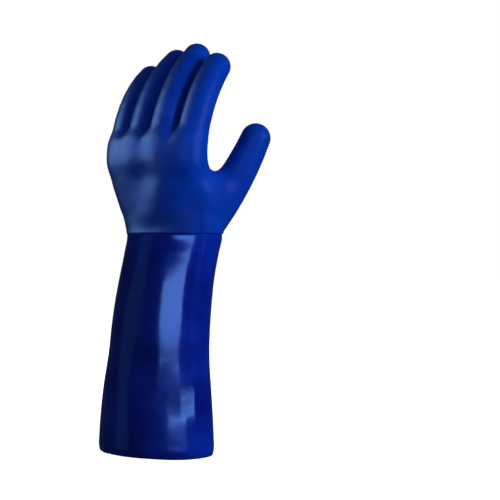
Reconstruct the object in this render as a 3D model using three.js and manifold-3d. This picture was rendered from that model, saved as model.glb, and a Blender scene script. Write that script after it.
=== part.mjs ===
// A PVC coated gauntlet glove for the left hand, standing on the rim of its cuff with its fingers up.
// X points to the thumb side, Y to the palm side and Z along the glove, in millimetres.
// It is two hollow coats that follow one outer form: a long smooth cuff, open at both ends, and a
// coated hand, whose lower edge laps over the top of the cuff at the wrist.
import * as THREE from "three";
import { mergeVertices } from "three/addons/utils/BufferGeometryUtils.js";
import Module from "manifold-3d";

const wasm = await Module();
wasm.setup();

// The cuff, from the rim that it stands on to the line where the hand's coat begins
const cuffLength = 209;
const rimWidth = 122.5;
const rimDepth = 80;
const wristWidth = 98.5;
const wristDepth = 64;
const wristTowardThumb = 9;
const wristTowardPalm = 19;

// The hand above the wrist line
const palmLength = 93;
const palmWidth = 103;
const palmThickness = 48;
const knucklesTowardThumb = 3;
const knucklesTowardPalm = -4.5;
const knuckleSpan = 71;
const fingerLength = 122;
const fingerRadius = 15;
const thumbLength = 119;
const thumbRadius = 16;

// How softly the forms run into each other
const palmSoftness = 20;
const palmTopSoftness = 12;
const fingerRootSoftness = 10;
const fingerSideSoftness = 4;
const wristFade = 26; // height over which the softness sets in above the wrist line
const gapFade = 20; // height over which the gaps between the fingers open, up to the palm's top

// Walls, and the lap where the hand's coat covers the top of the cuff
const cuffWall = 1.6;
const handWall = 2.2;
const edgeStep = 0.8; // how far the hand's coat stands proud of the cuff
const fingerGap = 2.8; // between the coats of two neighbouring fingers, where they would touch
const lapLength = 8;
const lapClearance = 0.6;

// One row for each cross-section of the cuff. up is a share of cuffLength. wide and deep go from the
// wrist's size at 0 to the rim's at 1, and lean from the rim's centre at 0 to the wrist's at 1.
const cuffSections = [
  { up: 0, wide: 1, deep: 1, lean: 0, squareness: 2 },
  { up: 0.14, wide: 0.82, deep: 0.81, lean: 0.02, squareness: 2.1 },
  { up: 0.29, wide: 0.54, deep: 0.6, lean: 0.07, squareness: 2.2 },
  { up: 0.43, wide: 0.27, deep: 0.45, lean: 0.16, squareness: 2.25 },
  { up: 0.6, wide: 0.08, deep: 0.31, lean: 0.3, squareness: 2.3 },
  { up: 0.77, wide: -0.03, deep: 0.19, lean: 0.53, squareness: 2.3 },
  { up: 0.91, wide: -0.06, deep: 0.07, lean: 0.81, squareness: 2.3 },
  { up: 1, wide: 0, deep: 0, lean: 1, squareness: 2.3 },
];

// One row for each cross-section of the palm. up is a share of palmLength, wide of palmWidth and deep
// of palmThickness, and lean goes from the wrist's centre at 0 to the knuckles' centre at 1.
const palmSections = [
  { up: 0.17, wide: 0.98, deep: 1.28, lean: 0.12, squareness: 2.3 },
  { up: 0.39, wide: 0.985, deep: 1.18, lean: 0.42, squareness: 2.4 },
  { up: 0.6, wide: 0.98, deep: 1.08, lean: 0.74, squareness: 2.5 },
  { up: 0.82, wide: 0.945, deep: 0.99, lean: 0.98, squareness: 2.6 },
  { up: 1.03, wide: 0.92, deep: 0.89, lean: 1, squareness: 2.6 },
  { up: 1.2, wide: 0.91, deep: 0.8, lean: 1, squareness: 2.6 },
];

// One row for each finger, from its knuckle. across is a share of half the knuckle span, palmward of
// palmThickness, up of palmLength, length of fingerLength, and root and tip of fingerRadius. The finger
// bends toward the palm from rootCurl to tipCurl and leans to the thumb side by splay, in degrees.
const fingers = [
  {
    across: 1.04, palmward: -0.02, up: 0.73, length: 0.87,
    rootCurl: 6, tipCurl: 44, splay: 3.4, root: 1.06, tip: 0.83,
  },
  {
    across: 0.34, palmward: -0.16, up: 0.77, length: 1.01,
    rootCurl: 9, tipCurl: 52, splay: 0.4, root: 1.04, tip: 0.84,
  },
  {
    across: -0.34, palmward: -0.14, up: 0.78, length: 1.03,
    rootCurl: 12, tipCurl: 57, splay: -2.7, root: 1.02, tip: 0.82,
  },
  {
    across: -0.98, palmward: -0.03, up: 0.76, length: 0.9,
    rootCurl: 12, tipCurl: 56, splay: -7, root: 0.98, tip: 0.82,
  },
];

// The thumb, from its root under the palm. across and palmward are shares of palmWidth, and up of
// palmLength, from the wrist's centre. It turns outward from rootOut to tipOut, in degrees.
const thumb = {
  across: 0.14, palmward: 0.04, up: -0.065,
  rootOut: 37, tipOut: 19, rootCurl: 24, tipCurl: 13, root: 1.29, tip: 0.86,
};
const linksInStall = 8;

// Two pads on the palm: the web from the palm to the thumb, and the heel under the little finger.
// across and palmward are shares of palmWidth from the knuckles' centre, up is a share of palmLength,
// and radius is a share of palmThickness.
const webPad = [
  { across: 0.24, palmward: 0.2, up: 0.33, radius: 0.28 },
  { across: 0.41, palmward: 0.24, up: 0.45, radius: 0.25 },
];
const heelPad = [
  { across: -0.2, palmward: 0.28, up: 0.25, radius: 0.37 },
  { across: -0.28, palmward: 0.16, up: 0.57, radius: 0.37 },
];

// How finely the forms are drawn
const gridCell = 2;
const handTriangles = 8800;
const aroundCuff = 48;
const ringsUpCuff = 13;

const pvcBlue = 0x0a2f9e;
const pvcDeepBlue = 0x06187c;

const leastSoftness = 0.2;
const degrees = Math.PI / 180;
const lerp = THREE.MathUtils.lerp;

// Every cross-section of the cuff and palm by height, with its centre and half sizes
const sections = [
  ...cuffSections.map((row) => ({
    z: row.up * cuffLength,
    halfWidth: lerp(wristWidth, rimWidth, row.wide) / 2,
    halfDepth: lerp(wristDepth, rimDepth, row.deep) / 2,
    centreX: row.lean * wristTowardThumb,
    centreY: row.lean * wristTowardPalm,
    squareness: row.squareness,
  })),
  ...palmSections.map((row) => ({
    z: cuffLength + row.up * palmLength,
    halfWidth: (row.wide * palmWidth) / 2,
    halfDepth: (row.deep * palmThickness) / 2,
    centreX: lerp(wristTowardThumb, knucklesTowardThumb, row.lean),
    centreY: lerp(wristTowardPalm, knucklesTowardPalm, row.lean),
    squareness: row.squareness,
  })),
];

// The cross-section at one height, on a smooth curve through the rows
function sectionAt(z) {
  const last = sections.length - 1;
  const height = THREE.MathUtils.clamp(z, sections[0].z, sections[last].z);
  let i = 0;
  while (i < last - 1 && sections[i + 1].z < height) {
    i += 1;
  }
  const low = sections[i];
  const high = sections[i + 1];
  const before = sections[Math.max(i - 1, 0)];
  const after = sections[Math.min(i + 2, last)];
  const gap = high.z - low.z;
  const t = (height - low.z) / gap;
  const result = {};
  for (const key of ["halfWidth", "halfDepth", "centreX", "centreY", "squareness"]) {
    const lowSlope = ((high[key] - before[key]) / (high.z - before.z)) * gap;
    const highSlope = ((after[key] - low[key]) / (after.z - low.z)) * gap;
    const rise = high[key] - low[key];
    result[key] = low[key] + t * (lowSlope + t * (3 * rise - 2 * lowSlope - highSlope
      + t * (lowSlope + highSlope - 2 * rise)));
  }
  return result;
}

// Distance from the form of the sleeve and palm alone, as if they were one endless tube
const leastReach = 0.001; // keeps the middle of the tube off a division by nothing
function tubeDistance(x, y, z) {
  const s = sectionAt(z);
  const across = Math.abs(x - s.centreX) / s.halfWidth;
  const along = Math.abs(y - s.centreY) / s.halfDepth;
  const n = s.squareness;
  const reach = Math.max((across ** n + along ** n) ** (1 / n), leastReach);
  const slopeX = (across / reach) ** (n - 1) / s.halfWidth;
  const slopeY = (along / reach) ** (n - 1) / s.halfDepth;
  return (reach - 1) / Math.hypot(slopeX, slopeY);
}

// Distance from a round bar that runs from one ball to another
function barDistance(x, y, z, from, to) {
  const dx = to.x - from.x;
  const dy = to.y - from.y;
  const dz = to.z - from.z;
  const px = x - from.x;
  const py = y - from.y;
  const pz = z - from.z;
  const share = (px * dx + py * dy + pz * dz) / (dx * dx + dy * dy + dz * dz);
  const t = THREE.MathUtils.clamp(share, 0, 1);
  return Math.hypot(px - t * dx, py - t * dy, pz - t * dz) - lerp(from.radius, to.radius, t);
}

function chainDistance(x, y, z, balls) {
  let distance = Infinity;
  for (let i = 0; i < balls.length - 1; i += 1) {
    distance = Math.min(distance, barDistance(x, y, z, balls[i], balls[i + 1]));
  }
  return distance;
}

function softUnion(a, b, softness) {
  const overlap = Math.max(softness - Math.abs(a - b), 0);
  return Math.min(a, b) - (overlap * overlap) / (4 * softness);
}

// The balls along a stall, which starts at a place and turns evenly over its length. root and tip are
// shares of radius, and the angles are out to the thumb side and curl to the palm side.
function stallBalls({ start, length, radius, rootOut, tipOut, rootCurl, tipCurl, root, tip }) {
  const step = length / linksInStall;
  const balls = [{ ...start, radius: root * radius }];
  for (let i = 0; i < linksInStall; i += 1) {
    const share = (i + 0.5) / linksInStall;
    const out = lerp(rootOut, tipOut, share) * degrees;
    const curl = lerp(rootCurl, tipCurl, share) * degrees;
    const end = balls[i];
    balls.push({
      x: end.x + step * Math.sin(out) * Math.cos(curl),
      y: end.y + step * Math.sin(curl),
      z: end.z + step * Math.cos(out) * Math.cos(curl),
      radius: lerp(root, tip, (i + 1) / linksInStall) * radius,
    });
  }
  return balls;
}

const fingerBalls = (finger) => stallBalls({
  ...finger,
  start: {
    x: knucklesTowardThumb + (finger.across * knuckleSpan) / 2,
    y: knucklesTowardPalm + finger.palmward * palmThickness,
    z: cuffLength + finger.up * palmLength,
  },
  length: finger.length * fingerLength,
  radius: fingerRadius,
  rootOut: finger.splay,
  tipOut: finger.splay,
});

const thumbBalls = stallBalls({
  ...thumb,
  start: {
    x: wristTowardThumb + thumb.across * palmWidth,
    y: wristTowardPalm + thumb.palmward * palmWidth,
    z: cuffLength + thumb.up * palmLength,
  },
  length: thumbLength,
  radius: thumbRadius,
});

function padBalls(pad) {
  return pad.map((row) => ({
    x: knucklesTowardThumb + row.across * palmWidth,
    y: knucklesTowardPalm + row.palmward * palmWidth,
    z: cuffLength + row.up * palmLength,
    radius: row.radius * palmThickness,
  }));
}

const fingerChains = fingers.map(fingerBalls);
const webBalls = padBalls(webPad);
const heelBalls = padBalls(heelPad);

// Distance from the four finger stalls. Above the knuckles a narrow gap parts each from the next.
function stallsDistance(x, y, z) {
  const each = fingerChains.map((balls) => chainDistance(x, y, z, balls));
  const rise = THREE.MathUtils.smoothstep(z - (cuffLength + palmLength), -gapFade, 0);
  const closing = fingerRadius * (1 - rise);
  const gap = fingerGap + 2 * edgeStep;
  const parted = each.map((own, i) => {
    const others = [each[i - 1], each[i + 1]].filter((other) => other !== undefined);
    return others.reduce((form, other) => (
      -softUnion(-form, closing - (own - other + gap) / 2, fingerSideSoftness)), own);
  });
  const softness = fingerRootSoftness * (1 - rise) + leastSoftness;
  return parted.reduce((form, stall) => softUnion(form, stall, softness));
}

// Distance from the outside of the whole hand. Below the wrist line it goes on as the plain tube.
function handDistance(x, y, z) {
  const tube = tubeDistance(x, y, z);
  if (z <= cuffLength) {
    return tube;
  }
  const palmTop = z - (cuffLength + palmLength);
  const palm = -softUnion(-tube, -palmTop, palmTopSoftness);
  const rise = THREE.MathUtils.smoothstep(z - cuffLength, 0, wristFade);
  const softness = Math.max(palmSoftness * rise, leastSoftness);
  const body = [heelBalls, webBalls, thumbBalls].reduce(
    (form, balls) => softUnion(form, chainDistance(x, y, z, balls), softness), palm);
  return softUnion(body, stallsDistance(x, y, z), fingerRootSoftness);
}

// The hand's coat stands proud of the cuff all over. It is drawn down past the wrist line, and cut.
const cutMargin = 4 * gridCell;
const coatDistance = (x, y, z) => (
  Math.max(handDistance(x, y, z) - edgeStep, cuffLength - cutMargin - z)
);

// A box that holds the hand, with room for two cells around it
function handBox() {
  const box = new THREE.Box3();
  for (const ball of [...fingerChains.flat(), ...thumbBalls, ...webBalls, ...heelBalls]) {
    box.expandByPoint(new THREE.Vector3(ball.x, ball.y, ball.z).addScalar(ball.radius));
    box.expandByPoint(new THREE.Vector3(ball.x, ball.y, ball.z).addScalar(-ball.radius));
  }
  for (const s of sections.filter((row) => row.z >= cuffLength)) {
    box.expandByPoint(new THREE.Vector3(s.centreX - s.halfWidth, s.centreY - s.halfDepth, s.z));
    box.expandByPoint(new THREE.Vector3(s.centreX + s.halfWidth, s.centreY + s.halfDepth, s.z));
  }
  box.min.z = cuffLength - cutMargin;
  return box.expandByScalar(2 * gridCell + palmSoftness / 4 + edgeStep);
}

// The distances at every point of a grid over the box
function sampleGrid(distance, box) {
  const size = box.getSize(new THREE.Vector3()).divideScalar(gridCell);
  const counts = [Math.ceil(size.x) + 1, Math.ceil(size.y) + 1, Math.ceil(size.z) + 1];
  const values = new Float64Array(counts[0] * counts[1] * counts[2]);
  let index = 0;
  for (let k = 0; k < counts[2]; k += 1) {
    for (let j = 0; j < counts[1]; j += 1) {
      for (let i = 0; i < counts[0]; i += 1) {
        values[index] = distance(
          box.min.x + i * gridCell, box.min.y + j * gridCell, box.min.z + k * gridCell);
        index += 1;
      }
    }
  }
  return { values, counts, origin: box.min };
}

// The surface where the grid's distances pass a level, by dividing each cell into six tetrahedra.
// It is always closed, because neighbouring cells divide their shared face alike.
function surfaceFromGrid(grid, level) {
  const leastShare = 0.05; // of an edge, so that no face is drawn too narrow
  const { values, counts, origin } = grid;
  const stepY = counts[0];
  const stepZ = counts[0] * counts[1];
  const corner = [0, 1, stepY, stepY + 1, stepZ, stepZ + 1, stepZ + stepY, stepZ + stepY + 1];
  const tetrahedra = [
    [0, 1, 3, 7], [0, 3, 2, 7], [0, 2, 6, 7], [0, 6, 4, 7], [0, 4, 5, 7], [0, 5, 1, 7],
  ];
  const positions = [];
  const triangles = [];
  const known = new Map();
  const place = (index) => [
    origin.x + (index % stepY) * gridCell,
    origin.y + (Math.floor(index / stepY) % counts[1]) * gridCell,
    origin.z + Math.floor(index / stepZ) * gridCell,
  ];
  const crossing = (a, b) => {
    const low = Math.min(a, b);
    const high = Math.max(a, b);
    const key = low * values.length + high;
    if (!known.has(key)) {
      const share = (level - values[low]) / (values[high] - values[low]);
      const t = THREE.MathUtils.clamp(share, leastShare, 1 - leastShare);
      const from = place(low);
      const to = place(high);
      known.set(key, positions.length / 3);
      positions.push(...from.map((value, axis) => lerp(value, to[axis], t)));
    }
    return known.get(key);
  };
  for (let k = 0; k < counts[2] - 1; k += 1) {
    for (let j = 0; j < counts[1] - 1; j += 1) {
      for (let i = 0; i < counts[0] - 1; i += 1) {
        const base = i + j * stepY + k * stepZ;
        const filled = corner.filter((step) => values[base + step] < level).length;
        if (filled === 0 || filled === corner.length) {
          continue;
        }
        for (const tetrahedron of tetrahedra) {
          const ends = tetrahedron.map((number) => base + corner[number]);
          const inside = ends.filter((end) => values[end] < level);
          const outside = ends.filter((end) => values[end] >= level);
          if (inside.length === 0 || outside.length === 0) {
            continue;
          }
          const vertices = crossedEdges(inside, outside).map(([a, b]) => crossing(a, b));
          addFacingOut(vertices, place(inside[0]), positions, triangles);
        }
      }
    }
  }
  return { positions, triangles };
}

// The edges of one tetrahedron that the surface crosses, in order around its face there
function crossedEdges(inside, outside) {
  if (inside.length === 1) {
    return outside.map((end) => [inside[0], end]);
  }
  if (outside.length === 1) {
    return inside.map((end) => [end, outside[0]]);
  }
  const [a, b] = inside;
  const [c, d] = outside;
  return [[a, c], [a, d], [b, d], [b, c]];
}

// Adds a triangle or quad, turned so that the point inside the solid lies behind it
function addFacingOut(vertices, insidePoint, positions, triangles) {
  const point = (vertex) => new THREE.Vector3().fromArray(positions, vertex * 3);
  const first = point(vertices[0]);
  const normal = new THREE.Vector3().crossVectors(
    point(vertices[1]).sub(first), point(vertices[2]).sub(first));
  const toInside = new THREE.Vector3().fromArray(insidePoint).sub(first);
  const turned = normal.dot(toInside) > 0 ? [...vertices].reverse() : vertices;
  triangles.push([turned[0], turned[1], turned[2]]);
  if (turned.length === 4) {
    triangles.push([turned[0], turned[2], turned[3]]);
  }
}

// A heap of edges, with the least needed one on top
class EdgeHeap {
  constructor() {
    this.items = [];
  }

  push(item) {
    const items = this.items;
    let place = items.length;
    items.push(item);
    while (place > 0) {
      const parent = (place - 1) >> 1;
      if (items[parent].cost <= item.cost) {
        break;
      }
      items[place] = items[parent];
      place = parent;
    }
    items[place] = item;
  }

  pop() {
    const items = this.items;
    const top = items[0];
    const item = items.pop();
    if (items.length === 0) {
      return top;
    }
    let place = 0;
    for (;;) {
      let child = 2 * place + 1;
      if (child >= items.length) {
        break;
      }
      if (child + 1 < items.length && items[child + 1].cost < items[child].cost) {
        child += 1;
      }
      if (items[child].cost >= item.cost) {
        break;
      }
      items[place] = items[child];
      place = child;
    }
    items[place] = item;
    return top;
  }
}

// Thins a closed surface by drawing together the two ends of its least needed edge, over and over.
// An edge is little needed where the faces around it are flat, and where it is short.
function thinned(surface, wanted) {
  const evenness = 0.02; // how much the length of an edge counts, beside the bend of its faces
  const leastCosine = 0.3; // of the turn of a face that a change may leave
  const leastArea = 0.01;
  const points = [];
  for (let i = 0; i < surface.positions.length; i += 3) {
    points.push(new THREE.Vector3().fromArray(surface.positions, i));
  }
  const faces = surface.triangles.map((face) => [...face]);
  const facesAt = points.map(() => new Set());
  faces.forEach((face, id) => face.forEach((vertex) => facesAt[vertex].add(id)));
  const normalOf = (a, b, c) => new THREE.Vector3().crossVectors(
    new THREE.Vector3().subVectors(b, a), new THREE.Vector3().subVectors(c, a));
  const quadrics = points.map(() => new Float64Array(10));
  for (const face of faces) {
    const [a, b, c] = face.map((vertex) => points[vertex]);
    const n = normalOf(a, b, c).normalize();
    const d = -n.dot(a);
    const plane = [
      n.x * n.x, n.x * n.y, n.x * n.z, n.y * n.y, n.y * n.z, n.z * n.z, n.x * d, n.y * d, n.z * d, d * d];
    face.forEach((vertex) => plane.forEach((value, i) => {
      quadrics[vertex][i] += value;
    }));
  }
  const neighbours = (vertex) => {
    const found = new Set();
    for (const id of facesAt[vertex]) {
      faces[id].forEach((other) => found.add(other));
    }
    found.delete(vertex);
    return found;
  };
  const changes = new Uint32Array(points.length);
  const heap = new EdgeHeap();
  const matrix = new THREE.Matrix3();
  const pushEdge = (a, b) => {
    const q = quadrics[a].map((value, i) => value + quadrics[b][i]);
    const middle = new THREE.Vector3().addVectors(points[a], points[b]).multiplyScalar(0.5);
    matrix.set(
      q[0] + evenness, q[1], q[2],
      q[1], q[3] + evenness, q[4],
      q[2], q[4], q[5] + evenness).invert();
    const point = middle.clone().multiplyScalar(evenness);
    point.sub(new THREE.Vector3(q[6], q[7], q[8])).applyMatrix3(matrix);
    const { x, y, z } = point;
    const bend = q[0] * x * x + q[3] * y * y + q[5] * z * z + q[9]
      + 2 * (q[1] * x * y + q[2] * x * z + q[4] * y * z + q[6] * x + q[7] * y + q[8] * z);
    const length = points[a].distanceToSquared(points[b]);
    const cost = bend + evenness * length;
    heap.push({ cost, a, b, stampA: changes[a], stampB: changes[b], point });
  };
  const staysFacing = (moved, other, point) => {
    for (const id of facesAt[moved]) {
      const face = faces[id];
      if (face.includes(other)) {
        continue;
      }
      const before = face.map((vertex) => points[vertex]);
      const after = face.map((vertex) => (vertex === moved ? point : points[vertex]));
      const oldNormal = normalOf(...before);
      const newNormal = normalOf(...after);
      const cosine = oldNormal.dot(newNormal) / (oldNormal.length() * newNormal.length());
      if (newNormal.length() < leastArea || cosine < leastCosine) {
        return false;
      }
    }
    return true;
  };
  for (const face of faces) {
    for (let i = 0; i < 3; i += 1) {
      if (face[i] < face[(i + 1) % 3]) {
        pushEdge(face[i], face[(i + 1) % 3]);
      }
    }
  }
  let left = faces.length;
  while (left > wanted && heap.items.length > 0) {
    const { a, b, stampA, stampB, point } = heap.pop();
    const changed = changes[a] !== stampA || changes[b] !== stampB;
    if (changed || facesAt[a].size === 0 || facesAt[b].size === 0) {
      continue;
    }
    const around = neighbours(b);
    const shared = [...neighbours(a)].filter((vertex) => around.has(vertex));
    if (shared.length !== 2 || !staysFacing(a, b, point) || !staysFacing(b, a, point)) {
      continue;
    }
    for (const id of [...facesAt[b]]) {
      const face = faces[id];
      if (face.includes(a)) {
        face.forEach((vertex) => facesAt[vertex].delete(id));
        faces[id] = null;
        left -= 1;
      } else {
        face[face.indexOf(b)] = a;
        facesAt[a].add(id);
      }
    }
    facesAt[b].clear();
    points[a] = point;
    quadrics[b].forEach((value, i) => {
      quadrics[a][i] += value;
    });
    changes[a] += 1;
    changes[b] += 1;
    for (const vertex of neighbours(a)) {
      pushEdge(a, vertex);
    }
  }
  const kept = new Map();
  const positions = [];
  const triangles = faces.filter((face) => face).map((face) => face.map((vertex) => {
    if (!kept.has(vertex)) {
      kept.set(vertex, kept.size);
      positions.push(...points[vertex].toArray());
    }
    return kept.get(vertex);
  }));
  return { positions, triangles };
}

// Draws every point of a surface onto the place where the distance is at the level
function settle(surface, distance, level) {
  const reach = 0.25; // to each side, for measuring the slope
  const rounds = 3;
  const leastSlope = 0.2;
  for (let i = 0; i < surface.positions.length; i += 3) {
    let [x, y, z] = surface.positions.slice(i, i + 3);
    for (let round = 0; round < rounds; round += 1) {
      const slope = new THREE.Vector3(
        distance(x + reach, y, z) - distance(x - reach, y, z),
        distance(x, y + reach, z) - distance(x, y - reach, z),
        distance(x, y, z + reach) - distance(x, y, z - reach)).divideScalar(2 * reach);
      const move = (level - distance(x, y, z)) / Math.max(slope.lengthSq(), leastSlope);
      x += slope.x * move;
      y += slope.y * move;
      z += slope.z * move;
    }
    surface.positions.splice(i, 3, x, y, z);
  }
  return surface;
}

function solidFromSurface({ positions, triangles }) {
  return new wasm.Manifold(new wasm.Mesh({
    numProp: 3,
    vertProperties: Float32Array.from(positions),
    triVerts: Uint32Array.from(triangles.flat()),
  }));
}

function solidFromGeometry(geometry) {
  geometry.deleteAttribute("normal");
  geometry.deleteAttribute("uv");
  const merged = mergeVertices(geometry);
  return new wasm.Manifold(new wasm.Mesh({
    numProp: 3,
    vertProperties: merged.attributes.position.array,
    triVerts: Uint32Array.from(merged.index.array),
  }));
}

function geometryFromSolid(solid) {
  const mesh = solid.getMesh();
  const geometry = new THREE.BufferGeometry();
  geometry.setAttribute("position", new THREE.BufferAttribute(mesh.vertProperties, 3));
  geometry.setIndex(new THREE.BufferAttribute(mesh.triVerts, 1));
  geometry.computeVertexNormals();
  return geometry;
}

// The coated hand: the outer form less the form one wall inside it, cut flat at the wrist line
function makeCoatedHand() {
  const box = handBox();
  const grid = sampleGrid(coatDistance, box);
  const share = handTriangles / 2;
  const [outside, inside] = [0, -handWall].map((level) => (
    settle(thinned(surfaceFromGrid(grid, level), share), coatDistance, level)));
  const size = box.getSize(new THREE.Vector3());
  const keep = new THREE.BoxGeometry(size.x, size.y, size.z);
  const centre = box.getCenter(new THREE.Vector3());
  keep.translate(centre.x, centre.y, cuffLength + size.z / 2);
  const coat = solidFromSurface(outside).subtract(solidFromSurface(inside));
  return geometryFromSolid(coat.intersect(solidFromGeometry(keep)));
}

// The heights and insets of the rings of the cuff's wall, from the rim up its outside, round the
// narrower lip that goes under the hand's coat, and down its inside. inset is measured from the form.
function cuffRings() {
  const lipInset = handWall - edgeStep + lapClearance;
  const shoulder = cuffLength - lapClearance;
  const lipTop = cuffLength + lapLength;
  const slope = lipInset + cuffWall;
  const rings = [];
  for (let i = 0; i < ringsUpCuff; i += 1) {
    rings.push({ z: (shoulder * i) / (ringsUpCuff - 1), inset: 0 });
  }
  rings.push({ z: shoulder, inset: lipInset });
  rings.push({ z: lipTop, inset: lipInset });
  rings.push({ z: lipTop, inset: lipInset + cuffWall });
  rings.push({ z: shoulder - cuffWall, inset: lipInset + cuffWall });
  for (let i = ringsUpCuff - 1; i >= 0; i -= 1) {
    rings.push({ z: ((shoulder - cuffWall - slope) * i) / (ringsUpCuff - 1), inset: cuffWall });
  }
  return rings;
}

// The gauntlet cuff, a closed wall of rings joined to each other and the last one to the first
function makeGauntletCuff() {
  const rings = cuffRings();
  const positions = [];
  const triangles = [];
  rings.forEach(({ z, inset }, ring) => {
    const s = sectionAt(z);
    for (let i = 0; i < aroundCuff; i += 1) {
      const turn = (2 * Math.PI * i) / aroundCuff;
      const power = 2 / s.squareness;
      const across = Math.sign(Math.cos(turn)) * Math.abs(Math.cos(turn)) ** power;
      const along = Math.sign(Math.sin(turn)) * Math.abs(Math.sin(turn)) ** power;
      positions.push(
        s.centreX + (s.halfWidth - inset) * across, s.centreY + (s.halfDepth - inset) * along, z);
      const next = (i + 1) % aroundCuff;
      const here = ring * aroundCuff;
      const above = ((ring + 1) % rings.length) * aroundCuff;
      triangles.push([here + i, here + next, above + next], [here + i, above + next, above + i]);
    }
  });
  return geometryFromSolid(solidFromSurface({ positions, triangles }));
}

function namedMesh(name, geometry, color, roughness) {
  const material = new THREE.MeshStandardMaterial({ color, roughness, metalness: 0 });
  const mesh = new THREE.Mesh(geometry, material);
  mesh.name = name;
  return mesh;
}

const group = new THREE.Group();
group.add(namedMesh("coated_hand", makeCoatedHand(), pvcBlue, 0.7));
group.add(namedMesh("gauntlet_cuff", makeGauntletCuff(), pvcDeepBlue, 0.25));

// The origin is under the middle of the glove's box, on the surface that its rim stands on
const whole = new THREE.Box3().setFromObject(group);
const middle = whole.getCenter(new THREE.Vector3());
group.position.set(-middle.x, -middle.y, -whole.min.z);

export default group;
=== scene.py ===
# A long PVC coated work glove for the left hand, standing on the rim of its cuff.
# The two coats are modelled again here, finely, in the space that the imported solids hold.
import math

import bmesh
import bpy
import numpy as np
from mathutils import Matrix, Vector


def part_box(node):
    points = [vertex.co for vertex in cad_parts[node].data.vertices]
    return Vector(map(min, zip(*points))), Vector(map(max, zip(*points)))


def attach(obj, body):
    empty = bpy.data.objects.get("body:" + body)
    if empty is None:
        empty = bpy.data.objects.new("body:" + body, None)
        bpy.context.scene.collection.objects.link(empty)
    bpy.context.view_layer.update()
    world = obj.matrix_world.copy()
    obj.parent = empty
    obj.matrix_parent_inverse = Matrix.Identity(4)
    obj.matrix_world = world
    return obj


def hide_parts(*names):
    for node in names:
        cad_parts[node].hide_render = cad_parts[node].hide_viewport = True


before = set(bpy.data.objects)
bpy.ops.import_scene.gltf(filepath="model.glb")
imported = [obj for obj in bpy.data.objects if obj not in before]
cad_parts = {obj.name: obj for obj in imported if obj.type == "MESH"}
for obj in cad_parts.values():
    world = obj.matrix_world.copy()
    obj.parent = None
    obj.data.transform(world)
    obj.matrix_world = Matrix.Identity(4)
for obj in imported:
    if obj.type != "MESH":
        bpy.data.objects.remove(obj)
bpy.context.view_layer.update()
mm = 0.001
print("frame loaded")

# The form that both coats follow, in millimetres from the middle of the rim, with the solids' own sizes
gloveForm = {
    "cuffLength": 209.0,
    "rimWidth": 122.5,
    "rimDepth": 80.0,
    "wristWidth": 98.5,
    "wristDepth": 64.0,
    "wristTowardThumb": 9.0,
    "wristTowardPalm": 19.0,
    "palmLength": 93.0,
    "palmWidth": 103.0,
    "palmThickness": 48.0,
    "knucklesTowardThumb": 3.0,
    "knucklesTowardPalm": -4.5,
    "knuckleSpan": 71.0,
    "fingerLength": 122.0,
    "fingerRadius": 15.0,
    "thumbLength": 119.0,
    "thumbRadius": 16.0,
    "palmSoftness": 20.0,
    "palmTopSoftness": 12.0,
    "fingerRootSoftness": 10.0,
    "fingerSideSoftness": 4.0,
    "wristFade": 26.0,
    "gapFade": 20.0,
    "fingerGap": 2.8,
    "edgeStep": 0.8,  # how far the hand's coat stands proud of the cuff
    "leastSoftness": 0.2,
    "linksInStall": 8,
}
# Cross-sections of the cuff: up, wide, deep, lean, squareness
cuffSections = [
    (0, 1, 1, 0, 2),
    (0.14, 0.82, 0.81, 0.02, 2.1),
    (0.29, 0.54, 0.6, 0.07, 2.2),
    (0.43, 0.27, 0.45, 0.16, 2.25),
    (0.6, 0.08, 0.31, 0.3, 2.3),
    (0.77, -0.03, 0.19, 0.53, 2.3),
    (0.91, -0.06, 0.07, 0.81, 2.3),
    (1, 0, 0, 1, 2.3),
]
# Cross-sections of the palm: up, wide, deep, lean, squareness
palmSections = [
    (0.17, 0.98, 1.28, 0.12, 2.3),
    (0.39, 0.985, 1.18, 0.42, 2.4),
    (0.6, 0.98, 1.08, 0.74, 2.5),
    (0.82, 0.945, 0.99, 0.98, 2.6),
    (1.03, 0.92, 0.89, 1, 2.6),
    (1.2, 0.91, 0.8, 1, 2.6),
]
# Finger stalls: across, palmward, up, length, curl at the root and tip, splay, radius at the root and tip
fingerStalls = [
    (1.04, -0.02, 0.73, 0.87, 6, 44, 3.4, 1.06, 0.83),
    (0.34, -0.16, 0.77, 1.01, 9, 52, 0.4, 1.04, 0.84),
    (-0.34, -0.14, 0.78, 1.03, 12, 57, -2.7, 1.02, 0.82),
    (-0.98, -0.03, 0.76, 0.9, 12, 56, -7, 0.98, 0.82),
]
# Thumb stall: across, palmward, up, way out at the root and tip, curl at the root and tip, radius at both
thumbStall = (0.14, 0.04, -0.065, 37, 19, 24, 13, 1.29, 0.86)
# Pads of the palm: across, palmward, up, radius
webPad = [(0.24, 0.2, 0.33, 0.28), (0.41, 0.24, 0.45, 0.25)]
heelPad = [(-0.2, 0.28, 0.25, 0.37), (-0.28, 0.16, 0.57, 0.37)]


def mix(a, b, share):
    return a + (b - a) * share


def smoothStep(value, low, high):
    share = np.clip((value - low) / (high - low), 0, 1)
    return share * share * (3 - 2 * share)


def formSections():
    f = gloveForm
    rows = [
        (
            up * f["cuffLength"],
            mix(f["wristWidth"], f["rimWidth"], wide) / 2,
            mix(f["wristDepth"], f["rimDepth"], deep) / 2,
            lean * f["wristTowardThumb"],
            lean * f["wristTowardPalm"],
            squareness,
        )
        for up, wide, deep, lean, squareness in cuffSections
    ]
    rows += [
        (
            f["cuffLength"] + up * f["palmLength"],
            wide * f["palmWidth"] / 2,
            deep * f["palmThickness"] / 2,
            mix(f["wristTowardThumb"], f["knucklesTowardThumb"], lean),
            mix(f["wristTowardPalm"], f["knucklesTowardPalm"], lean),
            squareness,
        )
        for up, wide, deep, lean, squareness in palmSections
    ]
    return np.array(rows)


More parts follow.
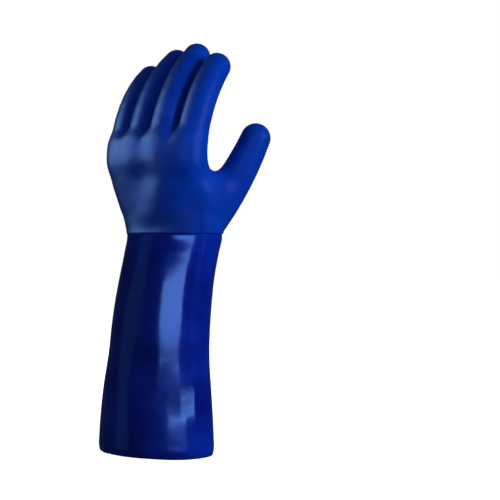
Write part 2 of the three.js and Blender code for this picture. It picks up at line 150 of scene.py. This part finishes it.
def stallBalls(start, length, radius, out, curl, size):
    links = gloveForm["linksInStall"]
    balls = [(*start, size[0] * radius)]
    for i in range(links):
        share = (i + 0.5) / links
        turnOut = math.radians(mix(out[0], out[1], share))
        turnIn = math.radians(mix(curl[0], curl[1], share))
        x, y, z, _ = balls[-1]
        step = length / links
        balls.append((
            x + step * math.sin(turnOut) * math.cos(turnIn),
            y + step * math.sin(turnIn),
            z + step * math.cos(turnOut) * math.cos(turnIn),
            mix(size[0], size[1], (i + 1) / links) * radius,
        ))
    return np.array(balls)


def fingerBalls(row):
    f = gloveForm
    across, palmward, up, length, rootCurl, tipCurl, splay, root, tip = row
    start = (
        f["knucklesTowardThumb"] + across * f["knuckleSpan"] / 2,
        f["knucklesTowardPalm"] + palmward * f["palmThickness"],
        f["cuffLength"] + up * f["palmLength"],
    )
    length *= f["fingerLength"]
    return stallBalls(start, length, f["fingerRadius"], (splay, splay), (rootCurl, tipCurl), (root, tip))


def thumbBalls():
    f = gloveForm
    across, palmward, up, rootOut, tipOut, rootCurl, tipCurl, root, tip = thumbStall
    start = (
        f["wristTowardThumb"] + across * f["palmWidth"],
        f["wristTowardPalm"] + palmward * f["palmWidth"],
        f["cuffLength"] + up * f["palmLength"],
    )
    return stallBalls(
        start, f["thumbLength"], f["thumbRadius"], (rootOut, tipOut), (rootCurl, tipCurl), (root, tip))


def padBalls(pad):
    f = gloveForm
    return np.array([
        (
            f["knucklesTowardThumb"] + across * f["palmWidth"],
            f["knucklesTowardPalm"] + palmward * f["palmWidth"],
            f["cuffLength"] + up * f["palmLength"],
            radius * f["palmThickness"],
        )
        for across, palmward, up, radius in pad
    ])


sections = formSections()
fingerChains = [fingerBalls(row) for row in fingerStalls]
thumbChain = thumbBalls()
webChain = padBalls(webPad)
heelChain = padBalls(heelPad)


def sectionAt(z):  # half width, half depth, centre x, centre y, squareness
    last = len(sections) - 1
    z = np.clip(z, sections[0, 0], sections[last, 0])
    i = np.clip(np.searchsorted(sections[:, 0], z, side="left") - 1, 0, last - 1)
    low, high = sections[i], sections[i + 1]
    before, after = sections[np.maximum(i - 1, 0)], sections[np.minimum(i + 2, last)]
    gap = (high[:, 0] - low[:, 0])[:, None]
    t = (z - low[:, 0])[:, None] / gap
    lowSlope = (high - before) / (high[:, :1] - before[:, :1]) * gap
    highSlope = (after - low) / (after[:, :1] - low[:, :1]) * gap
    rise = high - low
    curve = 3 * rise - 2 * lowSlope - highSlope + t * (lowSlope + highSlope - 2 * rise)
    return (low + t * (lowSlope + t * curve)).T[1:]


def tubeDistance(points):
    leastReach = 0.001
    halfWidth, halfDepth, centreX, centreY, n = sectionAt(points[:, 2])
    across = np.abs(points[:, 0] - centreX) / halfWidth
    along = np.abs(points[:, 1] - centreY) / halfDepth
    reach = np.maximum((across ** n + along ** n) ** (1 / n), leastReach)
    slopeX = (across / reach) ** (n - 1) / halfWidth
    slopeY = (along / reach) ** (n - 1) / halfDepth
    return (reach - 1) / np.hypot(slopeX, slopeY)


def chainDistance(points, balls):
    nearest = np.full(len(points), np.inf)
    for start, end in zip(balls[:-1], balls[1:]):
        way = end[:3] - start[:3]
        fromStart = points - start[:3]
        t = np.clip(fromStart @ way / (way @ way), 0, 1)
        off = fromStart - t[:, None] * way
        nearest = np.minimum(nearest, np.sqrt((off * off).sum(1)) - mix(start[3], end[3], t))
    return nearest


def softUnion(a, b, softness):
    overlap = np.maximum(softness - np.abs(a - b), 0)
    return np.minimum(a, b) - overlap * overlap / (4 * softness)


def stallsDistance(points):  # above the knuckles a narrow gap parts each finger from the next
    f = gloveForm
    each = [chainDistance(points, chain) for chain in fingerChains]
    rise = smoothStep(points[:, 2] - f["cuffLength"] - f["palmLength"], -f["gapFade"], 0)
    closing = f["fingerRadius"] * (1 - rise)
    gap = f["fingerGap"] + 2 * f["edgeStep"]
    stalls = None
    for i, own in enumerate(each):
        parted = own
        for other in each[max(i - 1, 0):i] + each[i + 1:i + 2]:
            parted = -softUnion(-parted, closing - (own - other + gap) / 2, f["fingerSideSoftness"])
        softness = f["fingerRootSoftness"] * (1 - rise) + f["leastSoftness"]
        stalls = parted if stalls is None else softUnion(stalls, parted, softness)
    return stalls


def handDistance(points):
    f = gloveForm
    palmTop = points[:, 2] - f["cuffLength"] - f["palmLength"]
    body = -softUnion(-tubeDistance(points), -palmTop, f["palmTopSoftness"])
    rise = smoothStep(points[:, 2] - f["cuffLength"], 0, f["wristFade"])
    softness = np.maximum(f["palmSoftness"] * rise, f["leastSoftness"])
    for chain in (heelChain, webChain, thumbChain):
        body = softUnion(body, chainDistance(points, chain), softness)
    return softUnion(body, stallsDistance(points), f["fingerRootSoftness"])


# The solids' corner of the rim says where the middle of the rim lies in the frame
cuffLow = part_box("gauntlet_cuff")[0]
rimMiddle = np.array([
    cuffLow[0] + gloveForm["rimWidth"] / 2 * mm,
    cuffLow[1] + gloveForm["rimDepth"] / 2 * mm,
    cuffLow[2],
])


def toFrame(points):
    return np.asarray(points) * mm + rimMiddle


def fromFrame(points):
    return (np.asarray(points) - rimMiddle) / mm



# The camera's place and the photo's scale
photoView = {
    "turn": 30.0,  # degrees round from the back of the hand toward the thumb
    "away": 1100.0,
    "beside": 90.7,
    "height": 193.4,
    "seenWidth": 480.0,  # millimetres across the picture at the middle of the rim
    "sensor": 36.0,
}


def cameraAxes():
    turn = math.radians(photoView["turn"])
    right = np.array([math.cos(turn), math.sin(turn), 0.0])
    toward = np.array([math.sin(turn), -math.cos(turn), 0.0])
    return right, toward


def studioPoint(right, toward, up):  # millimetres from the middle of the rim, as the camera sees them
    axisRight, axisToward = cameraAxes()
    return Vector(toFrame(right * axisRight + toward * axisToward + up * np.array([0, 0, 1.0])))


def makeCamera():
    data = bpy.data.cameras.new("photoCamera")
    data.sensor_width = photoView["sensor"]
    data.lens = photoView["sensor"] * photoView["away"] / photoView["seenWidth"]
    camera = bpy.data.objects.new("photoCamera", data)
    camera.location = studioPoint(photoView["beside"], photoView["away"], photoView["height"])
    camera.rotation_euler = (math.radians(90), 0, math.radians(photoView["turn"]))
    bpy.context.collection.objects.link(camera)
    bpy.context.scene.camera = camera


makeCamera()
print("camera placed")


def addNode(tree, kind, inputs=None, **settings):
    made = tree.nodes.new(kind)
    for name, value in settings.items():
        setattr(made, name, value)
    for name, value in (inputs or {}).items():
        if isinstance(value, bpy.types.NodeSocket):
            tree.links.new(value, made.inputs[name])
        else:
            made.inputs[name].default_value = value
    return made


def colour(hexCode):
    channels = [int(hexCode[i:i + 2], 16) / 255 for i in (0, 2, 4)]
    linear = [c / 12.92 if c <= 0.04045 else ((c + 0.055) / 1.055) ** 2.4 for c in channels]
    return (*linear, 1.0)


def newMaterial(name):
    material = bpy.data.materials.new(name)
    material.use_nodes = True
    tree = material.node_tree
    tree.nodes.clear()
    place = addNode(tree, "ShaderNodeTexCoord").outputs["Object"]
    return material, tree, place


def noise(tree, place, size, detail=2.0, roughness=0.5):  # size of one blotch in millimetres
    inputs = {"Vector": place, "Scale": 1 / (size * mm), "Detail": detail, "Roughness": roughness}
    return addNode(tree, "ShaderNodeTexNoise", inputs).outputs["Fac"]


def ranged(tree, value, low, high, toLow, toHigh):
    inputs = {"Value": value, "From Min": low, "From Max": high, "To Min": toLow, "To Max": toHigh}
    return addNode(tree, "ShaderNodeMapRange", inputs).outputs["Result"]


def bumpFrom(tree, height, depth, normal=None):  # depth in millimetres
    inputs = {"Height": height, "Distance": depth * mm}
    if normal is not None:
        inputs["Normal"] = normal
    return addNode(tree, "ShaderNodeBump", inputs).outputs["Normal"]


def mixedColours(tree, share, first, second):
    inputs = {"Factor": share, "A": colour(first), "B": colour(second)}
    return addNode(tree, "ShaderNodeMix", inputs, data_type="RGBA").outputs["Result"]


def finishMaterial(tree, shader):
    addNode(tree, "ShaderNodeOutputMaterial", {"Surface": shader.outputs["BSDF"]})


noiseRange = (0.3, 0.7)  # nearly all of a noise lies between these
pvcIor = 1.54

# PVC plastisol, second dip, sprinkled before it cured: a dull, faintly sandy blue skin
handCoat = {
    "deepBlue": "0030a6",
    "brightBlue": "003ebc",
    "blotch": 26.0,
    "blotchShare": (0, 0.8),
    "grain": 0.9,  # really about 0.3 mm, drawn coarser so that it shows
    "grainShare": (-0.1, 0.3),
    "grainDepth": 0.08,
    "swell": 17.0,
    "swellDepth": 0.35,
    "roughness": (0.35, 0.45),
}


def sandyPvc():
    f = handCoat
    material, tree, place = newMaterial("pvc_second_dip_sandy")
    blotch = noise(tree, place, f["blotch"])
    grain = noise(tree, place, f["grain"], detail=3.0)
    tone = addNode(tree, "ShaderNodeMath", {
        0: ranged(tree, blotch, *noiseRange, *f["blotchShare"]),
        1: ranged(tree, grain, *noiseRange, *f["grainShare"]),
    }, operation="ADD").outputs[0]
    swell = bumpFrom(tree, noise(tree, place, f["swell"], detail=1.0), f["swellDepth"])
    finishMaterial(tree, addNode(tree, "ShaderNodeBsdfPrincipled", {
        "Base Color": mixedColours(tree, tone, f["deepBlue"], f["brightBlue"]),
        "Roughness": ranged(tree, grain, *noiseRange, *f["roughness"]),
        "IOR": pvcIor,
        "Normal": bumpFrom(tree, grain, f["grainDepth"], swell),
    }))
    return material


# PVC plastisol, first dip, cured bare: a glossy, slightly wavy, deeper blue skin
cuffCoat = {
    "deepBlue": "001078",
    "brightBlue": "0028a8",
    "blotch": 36.0,
    "wave": 32.0,
    "waveDepth": 0.5,
    "ripple": 8.0,
    "rippleDepth": 0.07,
    "roughness": (0.12, 0.2),
}


def glossyPvc():
    f = cuffCoat
    material, tree, place = newMaterial("pvc_first_dip_glossy")
    blotch = noise(tree, place, f["blotch"])
    tone = ranged(tree, blotch, *noiseRange, 0, 1)
    wave = bumpFrom(tree, noise(tree, place, f["wave"], detail=1.0), f["waveDepth"])
    finishMaterial(tree, addNode(tree, "ShaderNodeBsdfPrincipled", {
        "Base Color": mixedColours(tree, tone, f["deepBlue"], f["brightBlue"]),
        "Roughness": ranged(tree, blotch, *noiseRange, *f["roughness"]),
        "IOR": pvcIor,
        "Normal": bumpFrom(tree, noise(tree, place, f["ripple"]), f["rippleDepth"], wave),
    }))
    return material


# Mesh making
def objectFromMesh(name, points, faces, material):
    mesh = bpy.data.meshes.new(name)
    mesh.from_pydata(toFrame(points).tolist(), [], faces)
    mesh.validate()
    mesh.materials.append(material)
    mesh.polygons.foreach_set("use_smooth", [True] * len(mesh.polygons))
    mesh.update()
    made = bpy.data.objects.new(name, mesh)
    bpy.context.collection.objects.link(made)
    return made


def slopeOf(distance, points):
    reach = 0.25
    steps = reach * np.eye(3)
    slope = np.stack([distance(points + step) - distance(points - step) for step in steps], axis=1)
    return slope / (2 * reach)


def unit(vectors):
    return vectors / np.linalg.norm(vectors, axis=1)[:, None]


def settle(points, distance, level, onEdge, rounds):  # points on the edge move level, the others freely
    leastSteepness = 0.2
    for _ in range(rounds):
        slope = slopeOf(distance, points)
        slope[onEdge, 2] = 0
        steepness = np.maximum((slope * slope).sum(1), leastSteepness)
        points = points + slope * ((level - distance(points)) / steepness)[:, None]
    return points


def relax(points, edges, free, share):
    counts = np.bincount(edges.ravel(), minlength=len(points))[:, None]
    total = np.zeros_like(points)
    np.add.at(total, edges[:, 0], points[edges[:, 1]])
    np.add.at(total, edges[:, 1], points[edges[:, 0]])
    moved = points + share * (total / counts - points)
    return np.where(free[:, None], moved, points)


def swelling(points, outward, rows):  # places and leans are as the camera sees them
    fullFacing = 0.5  # a surface that faces the camera by this much swells in full
    axisRight, axisToward = cameraAxes()
    right, up = points @ axisRight, points[:, 2]
    rise = np.zeros(len(points))
    for rightAt, upAt, reachAcross, reachUp, height, lean in rows:
        across = right - rightAt - lean * (up - upAt)
        off = (across / reachAcross) ** 2 + ((up - upAt) / reachUp) ** 2
        rise += height * np.exp(-off)
    return rise * np.clip(outward @ axisToward / fullFacing, 0, 1)


# The coated hand, drawn out finely from the outer faces of its solid
handShape = {
    "wall": 2.2,
    "cuts": 3,
    "relaxings": 6,
    "relaxShare": 0.5,
    "edgeRings": 5,
    "edgeHeight": 2.4,
    "edgeShift": 20.0,  # height over which the rows above the edge make room for its roll
    "evenAboveLine": 22.0,
}
# Tendons and hollows toward the camera: right, up, reach across, reach up, height, lean
handRelief = [
    (5, 246, 15, 40, 3.4, 0.22),
    (37, 240, 12, 19, -2.0, 0),
    (-7, 264, 12, 13, -1.6, 0),
    (-10, 300, 6, 12, -0.8, 0),
    (14, 305, 5, 14, -0.8, 0),
]


def outerFaces(node):
    mergeDistance = 0.001
    bm = bmesh.new()
    bm.from_mesh(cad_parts[node].data)
    bmesh.ops.remove_doubles(bm, verts=bm.verts, dist=mergeDistance * mm)
    bm.verts.ensure_lookup_table()
    points = fromFrame([vertex.co for vertex in bm.verts])
    outside = handDistance(points) - gloveForm["edgeStep"] > -handShape["wall"] / 2
    bmesh.ops.delete(bm, geom=[bm.verts[i] for i in np.where(~outside)[0]], context="VERTS")
    bmesh.ops.triangulate(bm, faces=bm.faces)
    bmesh.ops.subdivide_edges(bm, edges=bm.edges, cuts=handShape["cuts"], use_grid_fill=True)
    bmesh.ops.triangulate(bm, faces=bm.faces)
    return bm


def edgeLoop(bm):  # the open edge's points in order, as its faces run
    following = {}
    for edge in bm.edges:
        if edge.is_boundary:
            corner = edge.link_loops[0]
            following[corner.vert.index] = corner.link_loop_next.vert.index
    loop = [next(iter(following))]
    while following[loop[-1]] != loop[0]:
        loop.append(following[loop[-1]])
    return loop


def makeRoomForRoll(points, onEdge):  # lifts the lowest rows, less and less further up
    f = handShape
    rollTop = gloveForm["cuffLength"] + f["edgeHeight"]
    lowest = points[:, 2].min()
    fade = 1 - smoothStep(points[:, 2], lowest, lowest + f["edgeShift"])
    points[:, 2] += (rollTop - lowest) * fade
    points[onEdge, 2] = rollTop
    return points


def shapedSkin(points, edges, onEdge):
    f = handShape
    proud = gloveForm["edgeStep"]
    points = settle(points, handDistance, proud, onEdge, 3)
    for _ in range(f["relaxings"]):
        points = relax(points, edges, ~onEdge, f["relaxShare"])
        points = settle(points, handDistance, proud, onEdge, 1)
    points = settle(makeRoomForRoll(points, onEdge), handDistance, proud, onEdge, 2)
    outward = unit(slopeOf(handDistance, points))
    even = smoothStep(points[:, 2] - gloveForm["cuffLength"], 0, f["evenAboveLine"])
    return points + outward * (swelling(points, outward, handRelief) * even)[:, None]


def rolledEdge(points, loop):  # rings of points and faces below the last row, in to the cuff
    f = handShape
    slope = slopeOf(handDistance, points[loop])
    slope[:, 2] = 0
    outward = unit(slope)
    count = len(loop)
    rings, faces = [], []
    above = loop
    for ring in range(f["edgeRings"]):
        turn = math.pi / 2 * (ring + 1) / f["edgeRings"]
        lower = points[loop] - outward * gloveForm["edgeStep"] * (1 - math.cos(turn))
        lower[:, 2] = gloveForm["cuffLength"] + f["edgeHeight"] * (1 - math.sin(turn))
        rings.append(lower)
        here = [len(points) + ring * count + i for i in range(count)]
        faces += [[above[(i + 1) % count], above[i], here[i], here[(i + 1) % count]] for i in range(count)]
        above = here
    return rings, faces


def makeHand():
    bm = outerFaces("coated_hand")
    bm.verts.index_update()
    points = fromFrame([vertex.co for vertex in bm.verts])
    edges = np.array([[vertex.index for vertex in edge.verts] for edge in bm.edges])
    faces = [[vertex.index for vertex in face.verts] for face in bm.faces]
    onEdge = np.array([vertex.is_boundary for vertex in bm.verts])
    loop = edgeLoop(bm)
    bm.free()
    points = shapedSkin(points, edges, onEdge)
    rings, rollFaces = rolledEdge(points, loop)
    piece = objectFromMesh("hand_coat", np.concatenate([points, *rings]), faces + rollFaces, sandyPvc())
    wall = piece.modifiers.new("wall", "SOLIDIFY")
    wall.thickness = (handShape["wall"] - gloveForm["edgeStep"]) * mm
    wall.offset = -1
    return piece


# The gauntlet cuff, lofted in fine rings up its outside, over the lip under the hand's coat and down inside
cuffShape = {
    "wall": 1.6,
    "around": 240,
    "ringsUp": 150,
    "edgeRound": 0.6,
    "stepsInRound": 4,
    "lipInset": 2.0,
    "lipLength": 8.0,
    "lineGap": 0.1,
    "rimCurl": 1.6,
    "rimCurlUp": 9.0,
    "unevenness": 0.28,
    "evenBelowLine": 9.0,
}
# Soft swellings of the cuff, in the same columns
cuffRelief = [
    (34, 37, 14, 12, 0.35, 0),
    (24, -16, 17, 22, 3.3, 0),
    (2, 78, 16, 20, 0.6, 0),
    (-22, 52, 14, 26, 0.6, 0),
    (30, 128, 8, 20, 0.6, 0),
    (-47, 20, 3, 50, 0.6, 0),
]
# Waves of the cuff: millimetres in a radian along x, y and up, shift, share
cuffWaves = [
    (9, math.inf, 31, 1.3, 1),
    (math.inf, 8, -23, 0, 1),
    (21, 17, 13, 0, 0.5),
]


def cuffProfile():  # height and inset of each ring, up the outside, over the lip and down the inside
    f = cuffShape
    line = gloveForm["cuffLength"] - f["lineGap"]
    lipTop = gloveForm["cuffLength"] + f["lipLength"]
    rounded = f["edgeRound"]
    turns = [math.pi / 2 * i / f["stepsInRound"] for i in range(f["stepsInRound"] + 1)]
    corner = [(rounded * (1 - math.sin(turn)), rounded * (1 - math.cos(turn))) for turn in turns]
    outside = (line - 2 * rounded) / f["ringsUp"]
    lipInside = f["lipInset"] + f["wall"]
    rings = corner[::-1]
    rings += [(rounded + outside * i, 0) for i in range(1, f["ringsUp"])]
    rings += [(line, 0), (line, f["lipInset"]), (lipTop, f["lipInset"]), (lipTop, lipInside)]
    rings += [(line - f["wall"], lipInside)]
    innerTop = line - f["wall"] - lipInside
    innerCount = f["ringsUp"] // 2
    rings += [(mix(innerTop, rounded, i / innerCount), f["wall"]) for i in range(innerCount)]
    rings += [(height, f["wall"] - inset) for height, inset in corner]
    return rings


def unevenCuff(points, outward):  # the soft skin isn't a true cone
    f = cuffShape
    rise = swelling(points, outward, cuffRelief)
    for *lengths, shift, share in cuffWaves:
        rise += f["unevenness"] * share * np.sin(points @ (1 / np.array(lengths)) + shift)
    return rise * smoothStep(gloveForm["cuffLength"] - points[:, 2], 0, f["evenBelowLine"])


def signedPower(value, power):
    return np.sign(value) * np.abs(value) ** power


def cuffRing(height, inset):
    f = cuffShape
    turns = 2 * math.pi * np.arange(f["around"]) / f["around"]
    cosine, sine = np.cos(turns), np.sin(turns)
    halfWidth, halfDepth, centreX, centreY, n = sectionAt(np.array([height]))[:, 0]
    inset += f["rimCurl"] * max(1 - height / f["rimCurlUp"], 0) ** 2
    x = centreX + (halfWidth - inset) * signedPower(cosine, 2 / n)
    y = centreY + (halfDepth - inset) * signedPower(sine, 2 / n)
    ring = np.stack([x, y, np.full_like(x, height)], axis=1)
    outward = unit(np.stack([cosine / halfWidth, sine / halfDepth, np.zeros_like(x)], axis=1))
    return ring + outward * unevenCuff(ring, outward)[:, None]


def makeCuff():
    rings = [cuffRing(height, inset) for height, inset in cuffProfile()]
    count = cuffShape["around"]
    faces = []
    for ring in range(len(rings)):
        here = ring * count
        above = (ring + 1) % len(rings) * count
        for i in range(count):
            after = (i + 1) % count
            faces.append([here + i, here + after, above + after, above + i])
    return objectFromMesh("cuff_coat", np.concatenate(rings), faces, glossyPvc())


hand = makeHand()
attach(hand, "root")
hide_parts("coated_hand")
print("hand made")

cuff = makeCuff()
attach(cuff, "root")
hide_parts("gauntlet_cuff")
print("cuff made")

# Studio: a pale floor, soft fill lights, and lights that show only as reflections on one piece
studio = {
    "floorWidth": 12.0,
    "floorColour": "f4f4f2",
    "floorRoughness": 0.9,
    "floorGlow": (0.97, 1.05),  # under the glove and far from it
    "floorGlowFrom": (0.1, 0.6),
    "backdrop": "ffffff",
    "roomColour": "a0c0ff",
    "roomLight": 0.06,
}
# Lights: name, turn right of the camera, rise, away, aim height, width, height, watts, colour, use
studioLights = [
    ("keyBox", 64, 16, 1200, 240, 600, 700, 11.0, "ffffff", "fill"),
    ("fillBox", 0, 10, 1400, 200, 900, 900, 3.2, "ffffff", "fill"),
    ("backFill", 180, 22, 1300, 220, 900, 900, 6.5, "ffffff", "fill"),
    ("stripBox", -12, 10.8, 1100, 150, 940, 305, 7.6, "6ea4ff", "cuff"),
    ("lowBox", 36, 4.2, 300, 35, 240, 20, 0.15, "6ea4ff", "cuff"),
    ("rimBox", 8, 5, 300, 10, 230, 20, 0.17, "6ea4ff", "cuff"),
    ("leftBox", -80, 10, 1100, 200, 420, 1300, 0.55, "62a0ff", "cuff"),
    ("wallBox", -87, 20, 1100, 230, 1120, 1300, 21.5, "88bcf0", "hand"),
]


def showOnlyOn(light, piece):  # the light reflects in this piece and lights nothing
    receivers = bpy.data.collections.new(light.name + "Receivers")
    receivers.objects.link(piece)
    light.light_linking.receiver_collection = receivers


def makeLight(name, turn, rise, away, aimHeight, width, height, watts, tint, use):
    data = bpy.data.lights.new(name, "AREA")
    data.shape = "RECTANGLE"
    data.size = width * mm
    data.size_y = height * mm
    data.energy = watts
    data.color = colour(tint)[:3]
    light = bpy.data.objects.new(name, data)
    turn, rise = math.radians(turn), math.radians(rise)
    level = away * math.cos(rise)
    up = aimHeight + away * math.sin(rise)
    light.location = studioPoint(level * math.sin(turn), level * math.cos(turn), up)
    way = studioPoint(0, 0, aimHeight) - light.location
    light.rotation_euler = way.to_track_quat("-Z", "Y").to_euler()
    light.visible_diffuse = use == "fill"
    light.visible_glossy = use != "fill"
    light.visible_camera = False
    if use != "fill":
        showOnlyOn(light, {"hand": hand, "cuff": cuff}[use])
    bpy.context.collection.objects.link(light)


def makeFloor():
    half = studio["floorWidth"] / 2
    mesh = bpy.data.meshes.new("floor")
    corners = [(-half, -half, 0), (half, -half, 0), (half, half, 0), (-half, half, 0)]
    mesh.from_pydata(corners, [], [(0, 1, 2, 3)])
    material, tree, place = newMaterial("pale_floor")
    away = addNode(tree, "ShaderNodeVectorMath", {0: place}, operation="LENGTH").outputs["Value"]
    glow = ranged(tree, away, *studio["floorGlowFrom"], *studio["floorGlow"])
    finishMaterial(tree, addNode(tree, "ShaderNodeBsdfPrincipled", {
        "Base Color": colour(studio["floorColour"]),
        "Roughness": studio["floorRoughness"],
        "Emission Color": colour(studio["backdrop"]),
        "Emission Strength": glow,
    }))
    mesh.materials.append(material)
    floor = bpy.data.objects.new("floor", mesh)
    floor.visible_glossy = False
    floor.visible_diffuse = False
    bpy.context.collection.objects.link(floor)


def makeWorld():
    world = bpy.data.worlds.new("studio")
    world.use_nodes = True
    tree = world.node_tree
    tree.nodes.clear()
    seen = addNode(tree, "ShaderNodeLightPath").outputs["Is Camera Ray"]
    white = addNode(tree, "ShaderNodeBackground", {"Color": colour(studio["backdrop"])})
    room = addNode(tree, "ShaderNodeBackground", {
        "Color": colour(studio["roomColour"]), "Strength": studio["roomLight"]})
    both = addNode(tree, "ShaderNodeMixShader", {0: seen, 1: room.outputs[0], 2: white.outputs[0]})
    addNode(tree, "ShaderNodeOutputWorld", {"Surface": both.outputs[0]})
    bpy.context.scene.world = world


for row in studioLights:
    makeLight(*row)
makeFloor()
makeWorld()
bpy.context.scene.view_settings.view_transform = "Standard"
print("studio made")
